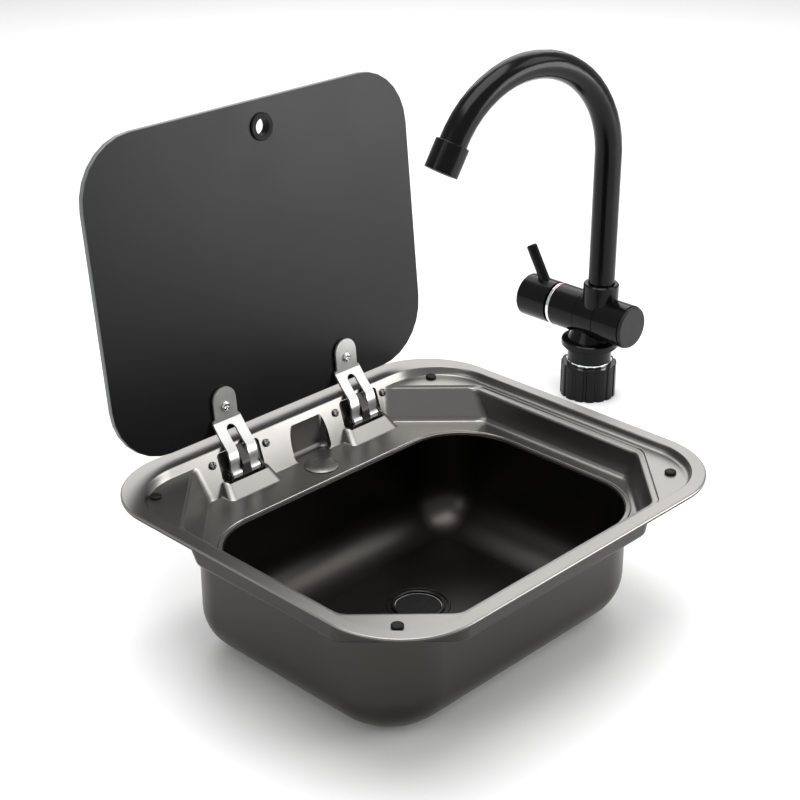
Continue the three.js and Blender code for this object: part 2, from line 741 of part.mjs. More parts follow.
function fixedHinge(centre, label) {
  const sides = { inner: label === 'left' ? 1 : -1, outer: label === 'left' ? -1 : 1 };
  const meshes = [
    piece(`hinge_base_${label}`, hingeBase().translate([centre, 0, 0]), brightSteel),
    piece(`hinge_pin_${label}`, hingePin().translate([centre, 0, 0]), brightSteel),
    piece(`hinge_leaf_${label}`, hingeLeaf().translate([centre, 0, 0]), brightSteel),
  ];
  Object.entries(sides).forEach(([where, side]) => {
    const [screw, backNut] = baseScrews(centre, side);
    meshes.push(piece(`base_screw_${label}_${where}`, screw, chromed));
    meshes.push(piece(`base_nut_${label}_${where}`, backNut, brightSteel));
  });
  return meshes;
}

// ---------------------------------------------------------------- lid, drawn lying closed about the pin

// Heights and distances from the pin while the lid lies closed
const lidTop = pinDepth;
const lidUnder = lidTop - lidThick;
const lidRear = -lidToPin;
const lidBox = {
  left: recess.left + lidLeftGap,
  right: recess.right - lidRightGap,
  front: recess.front + lidFrontGap - pin.y,
  back: lidRear,
  corner: lidCorner,
};
const screwY = lidRear - bracketScrewReach;

function glassLid() {
  const slab = stack([
    { loop: roundedBox(lidBox, -lidBevel), z: lidUnder },
    { loop: roundedBox(lidBox), z: lidUnder + lidBevel },
    { loop: roundedBox(lidBox), z: lidTop - lidBevel },
    { loop: roundedBox(lidBox, -lidBevel), z: lidTop },
  ]);
  const hole = (radius, sides) => rod(radius + bore, lidUnder - past, lidTop + past, sides);
  const holes = [
    hole(grommet.groove, fine).translate([fingerX, lidBox.front + fingerInset, 0]),
    ...hingeCentres.map(x => hole(lidScrew.shank, 16).translate([x, screwY, 0])),
  ];
  return piece('glass_lid', cut(slab, holes), darkGlass);
}

function fingerGrommet() {
  const low = lidUnder - seat;
  const high = lidTop + seat;
  const body = turned([
    [fingerHole, low - grommet.proud], [grommet.flange - 0.6, low - grommet.proud],
    [grommet.flange, low - grommet.proud + 0.6], [grommet.flange, low], [grommet.groove, low],
    [grommet.groove, high], [grommet.flange, high], [grommet.flange, high + grommet.proud - 0.6],
    [grommet.flange - 0.6, high + grommet.proud], [fingerHole, high + grommet.proud],
  ], fine);
  const mesh = piece('finger_hole_grommet', body, rubber);
  mesh.position.set(fingerX, lidBox.front + fingerInset, 0);
  return mesh;
}

const padTop = lidUnder - seat;
const bracketTop = padTop - padThick - seat;
const bracketUnder = bracketTop - bracketThick;

const bend = lidRear - bendReach;

// Plan of the bracket's plate, which has a round front end.
const platePlan = {
  left: -plateHalf,
  right: plateHalf,
  front: lidRear - plateReach,
  back: bend,
  corner: plateHalf - 0.4,
  backCorner: 1,
};

// Plan of the whole bracket: the plate and the wider arms behind the bend.
function bracketPlan(low, high) {
  const front = bend - armOverlap;
  const arms = { left: -armHalf, right: armHalf, front, back: knuckle * 2, corner: armCorner };
  return prism(roundedBox(platePlan, 0, 6), low, high).add(prism(roundedBox(arms, 0, 3), low, high));
}

function lidBracket() {
  const plateZ = bracketUnder + bracketThick / 2;
  const line = [
    [platePlan.front - past, plateZ], [bend, plateZ],
    ...Object.values(crank).map(([run, drop]) => [lidRear + run, plateZ - drop]), [0, 0],
  ];
  const strip = drawnAlongX(stripOutline(line, bracketThick), armHalf);
  const slot = {
    left: -armSlotHalf,
    right: armSlotHalf,
    front: bend + armSlotInset,
    back: armHalf,
    corner: armSlotHalf - 0.3,
  };
  const eyes = alongX(rod(knuckle, -armHalf, armHalf));
  const shaped = joined([strip.intersect(bracketPlan(-lidTop, lidTop)), eyes]);
  return cut(shaped, [
    prism(roundedBox(slot, 0, 5), -lidTop, lidTop),
    alongX(rod(pinRadius + bore, -armHalf - past, armHalf + past, 16)),
    rod(lidScrew.shank + bore, bracketUnder - past, bracketTop + past, 16).translate([0, screwY, 0]),
  ]);
}

function bracketPad() {
  const body = prism(roundedBox(platePlan, -padThick, 6), padTop - padThick, padTop);
  const hole = rod(lidScrew.shank + bore, padTop - padThick - past, padTop + past, 16);
  return body.subtract(hole.translate([0, screwY, 0]));
}

function lidScrewAndCap() {
  const headSeat = bracketUnder - seat;
  const shankEnd = lidTop + seat + lidCap.rim;
  const screw = crossHeadScrew(lidScrew, shankEnd - headSeat).rotate([180, 0, 0]);
  const capBase = lidTop + seat;
  const cap = turned([
    [0, shankEnd + bore], [lidScrew.shank + bore, shankEnd + bore], [lidScrew.shank + bore, capBase],
    [lidCap.radius - 0.6, capBase], [lidCap.radius, capBase + 0.8],
    [lidCap.radius - lidCap.shoulder, capBase + lidCap.thick - lidCap.dome], [0, capBase + lidCap.thick],
  ], coarse).translate([0, screwY, 0]);
  return [screw.translate([0, screwY, headSeat]), cap];
}

function openLid() {
  const lid = new THREE.Group();
  lid.position.set(0, pin.y, pin.z);
  lid.rotation.x = -radians(lidOpening);
  lid.add(glassLid(), fingerGrommet());
  hingeCentres.forEach((centre, k) => {
    const label = ['left', 'right'][k];
    const hardware = new THREE.Group();
    const [screw, cap] = lidScrewAndCap();
    hardware.position.x = centre;
    hardware.add(
      piece(`lid_bracket_${label}`, lidBracket(), brightSteel),
      piece(`bracket_pad_${label}`, bracketPad(), rubber),
      piece(`lid_screw_${label}`, screw, chromed),
      piece(`lid_screw_cap_${label}`, cap, brightSteel),
    );
    lid.add(hardware);
  });
  return lid;
}

// ---------------------------------------------------------------- tap, drawn about its base axis

const ringLow = lockNut.height + seat;
const neckLow = ringLow + thrustRing.thick + seat;
const neckTop = neckLow + neck.height;
const gasketLow = neckTop + seat;
const bodyLow = gasketLow + gasket.thick + seat;
const discTop = bodyLow + baseDisc.height;
const barrelZ = discTop + barrelRise;

function tapFoot() {
  const ribLoop = [];
  for (let k = 0; k < lockNut.ribs; k += 1) {
    const { land, flank } = lockNut;
    [[0, 1], [land / 2, 1], [land, 1], [land + flank, 0], [1 - flank, 0]].forEach(([share, proud]) => {
      const angle = ((k + share) / lockNut.ribs) * 2 * Math.PI;
      const radius = lockNut.radius - lockNut.rib * (1 - proud);
      ribLoop.push(new THREE.Vector2(radius * Math.cos(angle), radius * Math.sin(angle)));
    });
  }
  const nutBore = rod(shank.radius + bore, -past, lockNut.height + past, fine);
  const nutBody = prism(ribLoop, 0, lockNut.height).subtract(nutBore);
  const shankBody = turned([
    [shank.waterway, shank.foot], [shank.radius, shank.foot], [shank.radius, neckLow],
    [neck.radius, neckLow], [neck.radius, neckTop], [0, neckTop],
    [0, neckTop - shank.roof], [shank.waterway, neckTop - shank.roof],
  ].reverse(), fine);
  const thrustBody = ring(shank.radius + bore, thrustRing.radius, ringLow, ringLow + thrustRing.thick);
  return [
    piece('tap_lock_nut', nutBody, satinBlack),
    piece('tap_thrust_ring', thrustBody, chromed),
    piece('tap_shank', shankBody, satinBlack),
    piece('tap_gasket', ring(gasket.inner, gasket.radius, gasketLow, gasketLow + gasket.thick), rubber),
  ];
}

// A length of barrel along Y, between two distances from the base's axis.
const barrel = (radius, from, to, segments = fine) =>
  alongY(rod(radius, from, to, segments)).translate([0, 0, barrelZ]);

function tapBody() {
  const foot = turned([
    [0, bodyLow], [baseDisc.radius, bodyLow], [baseDisc.radius, discTop - baseDisc.round],
    [baseDisc.radius - baseDisc.round, discTop], [cone.foot, discTop + 1], [cone.top, discTop + cone.height],
    [cone.top - 1, barrelZ], [0, barrelZ],
  ], fine);
  const body = joined([foot, barrel(barrelRadius, foldSeam, barrelRear)]);
  const foldedCollar = alongX(rod(collar.radius + seamGap, 0, collar.rise + past, fine));
  return piece('tap_body', cut(body, [
    barrel(barrelRadius + seamGap, foldFront, foldSeam),
    foldedCollar.translate([0, collar.offset, barrelZ]),
    barrel(axle.radius + bore, foldSeam - past, foldSeam + axle.reach + bore, 20),
    barrel(cartridge.radius + bore, barrelRear - cartridge.inside - bore, barrelRear + past),
  ]), satinBlack);
}

const indicatorLow = barrelRear + seat;
const indicatorHigh = indicatorLow + indicator.thick;
const cartridgeEnd = indicatorHigh - cartridge.recessed;
const axleEnd = foldSeam + axle.reach;
const capStart = indicatorHigh + handleGap;
const pivotY = indicatorHigh + stem.length - 3;

function tapFixedTrim() {
  const band = alongY(ring(indicator.inner, indicator.radius, indicatorLow, indicatorHigh));
  const core = barrel(cartridge.radius, barrelRear - cartridge.inside, cartridgeEnd);
  return [
    piece('tap_indicator_ring', band.translate([0, 0, barrelZ]), chromed),
    piece('tap_cartridge', core, greyPlastic),
    piece('tap_fold_axle', barrel(axle.radius, axleEnd - axle.length, axleEnd, 20), brightSteel),
  ];
}

function foldingSection() {
  const top = barrelZ + collar.rise;
  const upright = turned([
    [0, barrelZ], [collar.radius, barrelZ], [collar.radius, top - collar.round],
    [collar.radius - collar.round, top], [0, top],
  ], fine).translate([0, collar.offset, 0]);
  const body = joined([upright, barrel(barrelRadius, foldFront, foldSeam - seamGap)]);
  const socket = rod(tube.radius + bore, top - tubeSocket, top + past, 28).translate([0, collar.offset, 0]);
  const axleBore = barrel(axle.radius + bore, axleEnd - axle.length - bore, foldSeam + past, 20);
  const discLow = foldFront - seat - endDisc.thick;
  const disc = alongY(turned([
    [0, discLow], [endDisc.radius - endDisc.round, discLow], [endDisc.radius, discLow + endDisc.round],
    [endDisc.radius, foldFront - seat], [0, foldFront - seat],
  ], fine)).translate([0, 0, barrelZ]);
  return [
    piece('tap_fold_section', cut(body, [socket, axleBore]), satinBlack),
    piece('tap_end_disc', disc, greyPlastic),
  ];
}

// Centre line of the spout: up the leg, round the swan neck, down the tail.
class SpoutLine extends THREE.CurvePath {
  constructor(foot) {
    super();
    const arc = new THREE.Curve();
    const sweep = radians(neckSweep);
    arc.getPoint = share => new THREE.Vector3(
      -neckBend * (1 - Math.cos(share * sweep)), 0, legTop + neckBend * Math.sin(share * sweep),
    );
    const end = arc.getPoint(1);
    const tail = new THREE.Vector3(-Math.sin(sweep), 0, Math.cos(sweep));
    this.tail = tail;
    this.bendEnd = end;
    this.add(new THREE.LineCurve3(new THREE.Vector3(0, 0, foot), new THREE.Vector3(0, 0, legTop)));
    this.add(arc);
    this.add(new THREE.LineCurve3(end, end.clone().addScaledVector(tail, neckTail)));
  }
}

function spout() {
  const foot = barrelZ + collar.rise - tubeSocket + seat;
  const line = new SpoutLine(foot);
  const section = new THREE.Shape(circleLoop(tube.radius, coarse));
  section.holes.push(new THREE.Path(circleLoop(tube.waterway, 8)));
  const pipe = new THREE.ExtrudeGeometry(section, { steps: 36, bevelEnabled: false, extrudePath: line });
  const capLow = neckTail - outlet.socket - seat;
  const socketEnd = outlet.socket + seat;
  const pocketEnd = outlet.length - outlet.pocketDepth;
  const shell = turned([
    [outlet.throat, socketEnd], [tube.radius + bore, socketEnd], [tube.radius + bore, 0],
    [outlet.radius - 0.8, 0], [outlet.radius, 0.8], [outlet.radius, outlet.length - 0.6],
    [outlet.radius - 0.6, outlet.length], [outlet.pocket, outlet.length],
    [outlet.pocket, pocketEnd], [outlet.throat, pocketEnd],
  ], fine);
  const aeratorLow = pocketEnd + seat;
  const jet = rod(aerator.jet, 0, outlet.length, 6).translate([aerator.ring, 0, 0]);
  const jets = Array.from({ length: aerator.jets }, (_, k) => jet.rotate([0, 0, (k * 360) / aerator.jets]));
  const insert = cut(rod(aerator.radius, aeratorLow, aeratorLow + aerator.thick), jets);
  const head = new THREE.Group();
  head.position.copy(line.bendEnd).addScaledVector(line.tail, capLow);
  head.quaternion.setFromUnitVectors(new THREE.Vector3(0, 0, 1), line.tail);
  head.add(piece('tap_outlet_cap', shell, satinBlack), piece('tap_aerator', insert, greyPlastic));
  const group = new THREE.Group();
  group.position.set(0, collar.offset, 0);
  group.rotation.z = radians(spoutTurn);
  group.add(piece('tap_spout', solid(pipe), satinBlack), head);
  return group;
}

function handle() {
  const stemBody = barrel(stem.radius, cartridgeEnd + seat, indicatorHigh + stem.length, 20);
  const crossBar = (radius, half) => alongX(rod(radius, -half, half, 14)).translate([0, pivotY, barrelZ]);
  const crossHole = crossBar(pivotPin.radius + bore, pivotPin.half + 2 * bore);
  const capEnd = capStart + capLength;
  const capBody = alongY(turned([
    [0, capStart + capMouthDepth], [capMouth, capStart + capMouthDepth], [capMouth, capStart],
    [barrelRadius, capStart], [barrelRadius, capEnd - capRound],
    [barrelRadius - capRound, capEnd], [0, capEnd],
  ], fine)).translate([0, 0, barrelZ]);
  const leverPlace = [0, capStart + lever.along, barrelZ + lever.rise];
  const atLever = body => body.rotate([-lever.lean, 0, 0]).translate(leverPlace);
  const leverRod = atLever(turned([
    [0, seat - lever.socket], [lever.radius, seat - lever.socket], [lever.radius, lever.length - lever.round],
    [lever.radius - lever.round, lever.length], [0, lever.length],
  ], 20));
  const leverSocket = atLever(rod(lever.radius + bore, -lever.socket, lever.length, 20));
  return [
    piece('tap_handle_stem', stemBody.subtract(crossHole), greyPlastic),
    piece('tap_handle_pin', crossBar(pivotPin.radius, pivotPin.half), brightSteel),
    piece('tap_handle_cap', cut(capBody, [crossHole, leverSocket]), satinBlack),
    piece('tap_lever', leverRod, satinBlack),
  ];
}

function tap() {
  const group = new THREE.Group();
  group.position.set(tapX, tapY, 0);
  group.add(...tapFoot(), tapBody(), ...tapFixedTrim(), ...foldingSection(), spout(), ...handle());
  return group;
}

// ---------------------------------------------------------------- the whole set

const set = new THREE.Group();
set.name = 'caravan_sink_set';
set.add(topPan(), bowl(), ...bumperPieces(), ...plugPieces());
set.add(...fixedHinge(hingeCentres[0], 'left'), ...fixedHinge(hingeCentres[1], 'right'));
set.add(openLid(), tap());

export default set;
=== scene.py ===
import json
import math

import bmesh
import bpy
from mathutils import Matrix, Vector


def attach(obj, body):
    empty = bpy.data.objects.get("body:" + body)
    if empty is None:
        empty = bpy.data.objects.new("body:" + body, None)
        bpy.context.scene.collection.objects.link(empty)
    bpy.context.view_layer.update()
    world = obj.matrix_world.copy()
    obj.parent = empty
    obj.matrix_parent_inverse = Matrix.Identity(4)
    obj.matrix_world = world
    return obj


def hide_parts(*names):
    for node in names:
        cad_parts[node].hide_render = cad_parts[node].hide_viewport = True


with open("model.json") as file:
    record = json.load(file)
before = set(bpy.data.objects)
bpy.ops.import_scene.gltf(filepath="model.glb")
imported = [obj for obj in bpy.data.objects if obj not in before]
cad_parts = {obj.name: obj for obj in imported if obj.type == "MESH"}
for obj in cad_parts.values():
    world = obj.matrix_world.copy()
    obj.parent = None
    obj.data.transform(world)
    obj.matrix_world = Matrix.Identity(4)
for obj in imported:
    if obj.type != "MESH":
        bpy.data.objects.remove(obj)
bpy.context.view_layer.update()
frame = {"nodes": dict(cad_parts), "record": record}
MM = 0.001

# Camera, fitted to the photograph (800 x 800)
CAMERA_PLACE = Vector((-0.9328, -0.8880, 0.8283))
CAMERA_YAW = math.radians(45.78)
CAMERA_PITCH = math.radians(25.36)
CAMERA_LENS = 76.54
CAMERA_SENSOR = 36.0

# Sink (millimetres; depths are below the flange's top)
SHEET = 1.2
SINK_HEIGHT = 145.0
FLANGE = dict(left=-210.0, right=210.0, front=-187.6, back=187.6, corner=74.0)
RIM_ROUND = 1.4
RIM_DROP = 3.0
RECESS = dict(left=-197.5, right=197.5, front=-173.7, back=162.4, corner=60.0)
LEDGE_DEPTH = 8.0
LEDGE_SIDE = 6.5
DECK_DEPTH = 40.0

# Rounded edge between the flange and the recess, as (inset, depth)
RECESS_EDGE = [(0.0, 2.2), (-0.2, 1.1), (-0.6, 0.4), (-1.2, 0.0)]
# Rounded foot of the recess's wall, as (inset, depth below the ledge)
RECESS_FOOT = [(4.2, 0.0), (3.0, -0.25), (1.7, -0.9), (0.8, -1.9), (0.3, -3.2)]

# Well: a step below the ledge, then a wall with eight facets down to the deck
STEP_DEPTH = 2.0
STEP_WIDTH = 6.5
WALL_LEAN = 0.5
WALL_FOOT_ROUND = 5.5
WELL_CORNER = 16.0
FACET_LEGS = (68.0, 63.0, 74.0, 68.0)
FACET_LEAN = 5.7
# Step's profile from the wall outwards, as (inset, depth below the step)
STEP_PROFILE = [(7.0, 2.6), (6.4, 1.3), (5.6, 0.45), (4.6, 0.1), (2.2, 0.0), (1.3, -0.4)]
# Step's upper edge, as (inset, depth below the ledge)
STEP_EDGE = [(0.8, 0.5), (0.0, 0.0)]

# Back wall, tap bay and the pockets in front of the hinges
SLOPE_START = 2.0
SLOPE_RUN = 13.3
SLOPE_TILT = math.atan2(SLOPE_RUN, DECK_DEPTH - SLOPE_START)
BAY = dict(left=-4.0, right=42.0, front=125.0, back=161.1, corner=8.0)
BAY_TOP = 7.0
BAY_ROUND = 5.0
HINGE_CENTRES = dict(left=-62.75, right=87.15)
POCKET_DEPTH = 28.0
POCKET_HALF = 30.0
POCKET_TAPER = 4.0
POCKET_REACH = 14.0
POCKET_LEAN = 12.0
POCKET_CORNER = 6.0
POCKET_BEHIND = 20.0
# Pocket's rounded foot, as (wider, further back, up from the deck)
POCKET_FOOT = [(1.5, -1.5, 0.0), (0.2, 0.4, 0.8)]
# Pocket's rounded rim, as (wider, further back, down from the rim)
POCKET_RIM = [(0.6, -1.6, 1.6), (0.0, -0.4, 0.5), (-0.9, 0.9, 0.0)]
SLOT_HALF = 24.5
SLOT_TOP = 4.0
SLOT_CORNER = 4.0
SLOT_DROP = 0.5
SLOT_REACH = dict(front=3.0, back=15.0)
BASE_SCREW_OFFSET = 31.5
BASE_SCREW_DEPTH = 12.0
BASE_SCREW_HOLE = 2.3

# Plate behind each hinge base's window: depths, and distances behind the sloped wall
COVER_TOP = 6.5
COVER_FOOT = 34.5
COVER_NEAR = 3.85
COVER_THICK = 1.5
COVER_HALF = 20.0

# Deck and ledge holes
PLUG_PLACE = (9.8, 130.0)
PLUG_HOLE = 12.0
BUMPER_PLACES = [(x * 170.0, y * 143.0) for x in (-1, 1) for y in (-1, 1)]
BUMPER_HOLE = 3.2

# Bowl, its mouth and the raised line round it
MOUTH = dict(left=-165.0, right=165.0, front=-130.4, back=101.1, corner=60.0)
MOUTH_EDGE = 1.0
BEAD_INSET = 3.9
BEAD_HEIGHT = 0.6
# Cross-section of the line's top, as (distance from its inner edge, drop below its crest)
BEAD_TOP = [(0.0, 0.6), (0.25, 0.15), (0.65, 0.0), (1.05, 0.15), (1.3, 0.6)]
BOWL_FLANGE = 5.0
BOWL_FLANGE_THICK = 1.5
BOWL_FILLET = 42.0
BOWL_FILLET_STEPS = 12
BOWL_BACK_CORNER = 46.0
BACK_SWELL = 21.0
SHOULDER_DEPTH = 43.0
SHOULDER_HEIGHT = 16.0
SHOULDER_STEPS = 8
DRAIN_PLACE = (19.0, 15.0)
DRAIN_HOLE = 21.5
# Rings pressed round the drain and what is cut there, as (radius, height above the foot)
DRAIN_BEAD = [(29.5, 0.4), (29.5, 1.5), (29.0, 2.0), (27.5, 2.0)]
DRAIN_GROOVE = [(27.0, 0.75), (27.1, 1.7), (27.8, 3.0)]
DRAIN_LIP = [(24.6, 0.4), (24.6, 2.0), (24.0, 2.7), (23.3, 2.8)]
DRAIN_CUT = [(DRAIN_HOLE, -1.0), (DRAIN_HOLE, 2.2), (DRAIN_HOLE + 0.9, 3.0)]

# Small details of the tap (millimetres and degrees)
TAP_PLACE = (486.0, 192.4)
BARREL_RADIUS = 24.6
BARREL_HEIGHT = 96.0
GROOVE_OFFSET = -18.0
GROOVE_WIDTH = 1.0
GROOVE_DEPTH = 0.8
MARK_RADII = (24.7, 25.0)
MARK_SPAN = (43.9, 45.3)
MARK_START = 60
MARK_SWEEP = 36
MARK_STEPS = 12

# Meshes: welding distances (metres), angles (degrees) and rounding of edges (millimetres)
NODE_WELD = 1e-6
NODE_FLAT = 0.4
PRESSED_WELD = 2e-6
PRESSED_FLAT = 0.3
PRESSED_EDGE = 0.5
PRESSED_ANGLE = 34
SHARP_ANGLE = 28
COVER_EDGE = 0.3
GROOVED_EDGE = 0.2
PLAIN_EDGE = 0.25
NODE_EDGES = {
    "tap_body": 0.6, "tap_fold_section": 0.6, "tap_handle_cap": 0.5, "tap_lock_nut": 0.5,
    "finger_hole_grommet": 0.5, "tap_outlet_cap": 0.4,
}

# Steps round a corner, and the degrees at which a rounded edge has its points
LOOP_STEPS = 20
WELL_STEPS = 10
BAY_STEPS = 8
SMALL_STEPS = 6
SMALLEST_CORNER = 0.5
EDGE_DEGREES = (0, 22, 45, 67, 90)
FOOT_DEGREES = (90, 75, 60, 45, 30, 15, 0)

# Points round a circle
ROUND = 64
SMALL_ROUND = 32
SHADE_ROUND = 48
DRAIN_ROUND = 72
BARREL_ROUND = 96

# How far cutters run past what they cut
PAST = 1.0
MOUTH_REACH = 2.0
HOLE_REACH = 4.0
SCREW_REACH = 12.0

# Which faces get painted shade or the glass's ground edge: shares of a face's direction, and
# margins in millimetres
OUTWARD = 0.3
DOWNWARD = -0.2
SIDEWAYS = 0.85
UNDER_DEPTH = 1.5
BAY_MARGIN = dict(side=1.0, back=0.8, top=0.5)
LID_NORMAL = Vector((0.0, 0.9946, -0.104))
# Area round the hinges, in metres
HINGE_ZONE = dict(half=0.14, front=0.09, back=0.165)

# Noise: its usual range of values, its detail, and how far it tints a colour
NOISE_RANGE = (0.3, 0.7)
PATCH_DETAIL = 3.0
GRAIN_DETAIL = 2.0
TINT = (0.94, 1.06)

# Studio: the floor's half width (metres) and the disc of painted shadow under the drain hole
# (millimetres)
FLOOR_HALF = 6.0
SHADE_GAP = 0.3
SHADE_RISE = 0.05
WORLD_STRENGTH = 0.5
LIGHT_TARGET = Vector((0.1, 0.05, 0.12))
# Soft lights, as (place, width, depth, power), in metres and watts
SOFTBOXES = {
    "back_panel": ((1.55, 1.5, 1.6), 2.2, 1.6, 25),
    "right_panel": ((1.35, -1.3, 0.42), 1.0, 0.75, 21),
    "high_right_panel": ((1.56, -1.03, 1.75), 1.1, 1.1, 11),
    "top_panel": ((-0.1, 0.1, 2.4), 2.0, 2.0, 62),
    "left_panel": ((-2.0, 0.4, 1.2), 1.2, 1.2, 10),
}

SLOT_OF = {part["node"]: part["material_slot"] for part in frame["record"]["subparts"]}
BODY_OF = {
    node: body
    for body, nodes in frame["record"]["behaviour"]["bodies"].items()
    for node in nodes
}


# ---------------------------------------------------------------- materials

class Look:
    """A principled material with a few helpers for its texture nodes."""

    def __init__(self, name, colour, metallic, roughness):
        self.material = bpy.data.materials.new(name)
        self.material.use_nodes = True
        self.tree = self.material.node_tree
        self.shader = self.tree.nodes["Principled BSDF"]
        self.coords = self.tree.nodes.new("ShaderNodeTexCoord").outputs["Object"]
        self.colour = colour
        self.set("Base Color", (*colour, 1.0))
        self.set("Metallic", metallic)
        self.set("Roughness", roughness)

    def set(self, socket, value):
        self.shader.inputs[socket].default_value = value

    def noise(self, scale, detail):
        texture = self.tree.nodes.new("ShaderNodeTexNoise")
        texture.inputs["Scale"].default_value = scale
        texture.inputs["Detail"].default_value = detail
        self.tree.links.new(self.coords, texture.inputs["Vector"])
        return texture.outputs["Fac"]

    def vary_roughness(self, source, low, high):
        ramp = self.tree.nodes.new("ShaderNodeMapRange")
        ramp.inputs["From Min"].default_value = NOISE_RANGE[0]
        ramp.inputs["From Max"].default_value = NOISE_RANGE[1]
        ramp.inputs["To Min"].default_value = low
        ramp.inputs["To Max"].default_value = high
        self.tree.links.new(source, ramp.inputs["Value"])
        self.tree.links.new(ramp.outputs["Result"], self.shader.inputs["Roughness"])

    def vary_colour(self, source, darker, lighter):
        mix = self.tree.nodes.new("ShaderNodeMix")
        mix.data_type = "RGBA"
        mix.inputs["A"].default_value = (*[c * darker for c in self.colour], 1.0)
        mix.inputs["B"].default_value = (*[c * lighter for c in self.colour], 1.0)
        self.tree.links.new(source, mix.inputs["Factor"])
        self.tree.links.new(mix.outputs["Result"], self.shader.inputs["Base Color"])

    def bump(self, source, strength, distance):
        node = self.tree.nodes.new("ShaderNodeBump")
        node.inputs["Strength"].default_value = strength
        node.inputs["Distance"].default_value = distance
        self.tree.links.new(source, node.inputs["Height"])
        self.tree.links.new(node.outputs["Normal"], self.shader.inputs["Normal"])


def finish(name, colour, roughness, spread, patches,
           metallic=0.0, specular=None, detail=PATCH_DETAIL, grain=None, tint=None):
    """A material whose roughness drifts over a spread in patches of a noise scale.

    The tint is the noise scale of a slight drift in colour, and the grain a fine bump as
    (scale, strength, distance).
    """
    look = Look(name, colour, metallic, roughness)
    if specular is not None:
        look.set("Specular IOR Level", specular)
    look.vary_roughness(look.noise(patches, detail), *spread)
    if tint:
        look.vary_colour(look.noise(tint, PATCH_DETAIL), *TINT)
    if grain:
        scale, strength, distance = grain
        look.bump(look.noise(scale, GRAIN_DETAIL), strength, distance)
    return look.material


def pressed_steel(name, colour):
    return finish(
        name, colour, roughness=0.33, spread=(0.31, 0.36), patches=9.0,
        metallic=1.0, grain=(2400.0, 0.035, 0.0002), tint=5.0,
    )


LOOKS = {
    "sink_steel": pressed_steel("sink_steel", (0.24, 0.235, 0.222)),
    "bright_steel": finish(
        "bright_steel", (0.43, 0.43, 0.422), roughness=0.3, spread=(0.28, 0.33), patches=90.0,
        metallic=0.85, detail=GRAIN_DETAIL,
    ),
    "bright_chrome": finish(
        "bright_chrome", (0.8, 0.81, 0.82), roughness=0.08, spread=(0.06, 0.12), patches=60.0,
        metallic=1.0,
    ),
    "dark_glass": finish(
        "dark_glass", (0.002, 0.002, 0.0022), roughness=0.34, spread=(0.32, 0.36), patches=14.0,
        specular=0.17, grain=(1800.0, 0.02, 0.0001),
    ),
    "black_rubber": finish(
        "black_rubber", (0.004, 0.004, 0.004), roughness=0.6, spread=(0.52, 0.7), patches=120.0,
        specular=0.2, grain=(900.0, 0.08, 0.0002),
    ),
    "tap_black": finish(
        "tap_black", (0.0022, 0.0023, 0.0026), roughness=0.17, spread=(0.15, 0.2), patches=40.0,
        specular=0.17, grain=(2600.0, 0.03, 0.0002),
    ),
    "grey_plastic": finish(
        "grey_plastic", (0.012, 0.0122, 0.0128), roughness=0.4, spread=(0.38, 0.48), patches=70.0,
        specular=0.2, grain=(1500.0, 0.04, 0.0002),
    ),
}
GLASS_EDGE = finish(
    "glass_edge", (0.12, 0.125, 0.125), roughness=0.35, spread=(0.3, 0.45), patches=80.0
)
WARM_RED = finish(
    "warm_red", (0.55, 0.02, 0.015), roughness=0.3, spread=(0.26, 0.34), patches=90.0
)
# Painted shade: a much darker copy of the sink's steel for the whole bowl and the pan's underside
PAINTED_SHADE_STEEL = pressed_steel("painted_shade_steel", (0.047, 0.0445, 0.0405))
# Painted shade: a darker copy of the sink's steel inside the tap bay
BAY_PAINTED_SHADE_STEEL = pressed_steel("bay_painted_shade_steel", (0.09, 0.087, 0.081))
SCREW_STEEL = finish(
    "screw_steel", (0.1, 0.098, 0.094), roughness=0.28, spread=(0.25, 0.32), patches=60.0,
    metallic=1.0,
)
# Painted shade: dark steel for the hinge parts and the plates behind them, in the shade of the
# slots
SHADED_STEEL = finish(
    "shaded_steel", (0.045, 0.044, 0.042), roughness=0.42, spread=(0.36, 0.44), patches=70.0,
    metallic=0.8,
)


# ---------------------------------------------------------------- pieces

def paint(obj, material):
    obj.data.materials.clear()
    obj.data.materials.append(material)


def link(name, data):
    obj = bpy.data.objects.new(name, data)
    bpy.context.scene.collection.objects.link(obj)
    return obj


def add_piece(name, mesh, node, material=None):
    """A piece that stands for a node, rides on its body and takes its finish."""
    obj = link(name, mesh)
    slot = SLOT_OF[node]
    paint(obj, material or LOOKS[slot])
    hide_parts(node)
    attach(obj, BODY_OF[node])
    return obj


def baked_mesh(shape, name):
    mesh = bpy.data.meshes.new(name)
    shape.to_mesh(mesh)
    shape.free()
    return mesh


def clean_mesh(source, name, weld, flat):
    """The same shape with welded corners, whole flat faces and smooth shading."""
    shape = bmesh.new()
    shape.from_mesh(source)
    bmesh.ops.remove_doubles(shape, verts=shape.verts, dist=weld)
    bmesh.ops.dissolve_limit(
        shape, angle_limit=math.radians(flat), verts=shape.verts, edges=shape.edges, delimit=set()
    )
    for face in shape.faces:
        face.smooth = True
    return baked_mesh(shape, name)


def soften(obj, width, angle=SHARP_ANGLE):
    """Rounds the sharp edges a little, as pressed, turned and moulded edges are."""
    bevel = obj.modifiers.new("edge", "BEVEL")
    bevel.width = width * MM
    bevel.segments = 2
    bevel.limit_method = "ANGLE"
    bevel.angle_limit = math.radians(angle)
    bevel.harden_normals = True
    weighted = obj.modifiers.new("normals", "WEIGHTED_NORMAL")
    weighted.keep_sharp = True


# ---------------------------------------------------------------- outlines and solids (millimetres)

def height(depth):
    return SINK_HEIGHT - depth


def slope_y(depth):
    return RECESS["back"] - max(depth - SLOPE_START, 0.0) * math.tan(SLOPE_TILT)


def behind_slope(depth, distance):
    """A point (y, z) behind the sloped wall, square to it."""
    return (
        slope_y(depth) + distance * math.cos(SLOPE_TILT),
        height(depth) - distance * math.sin(SLOPE_TILT),
    )


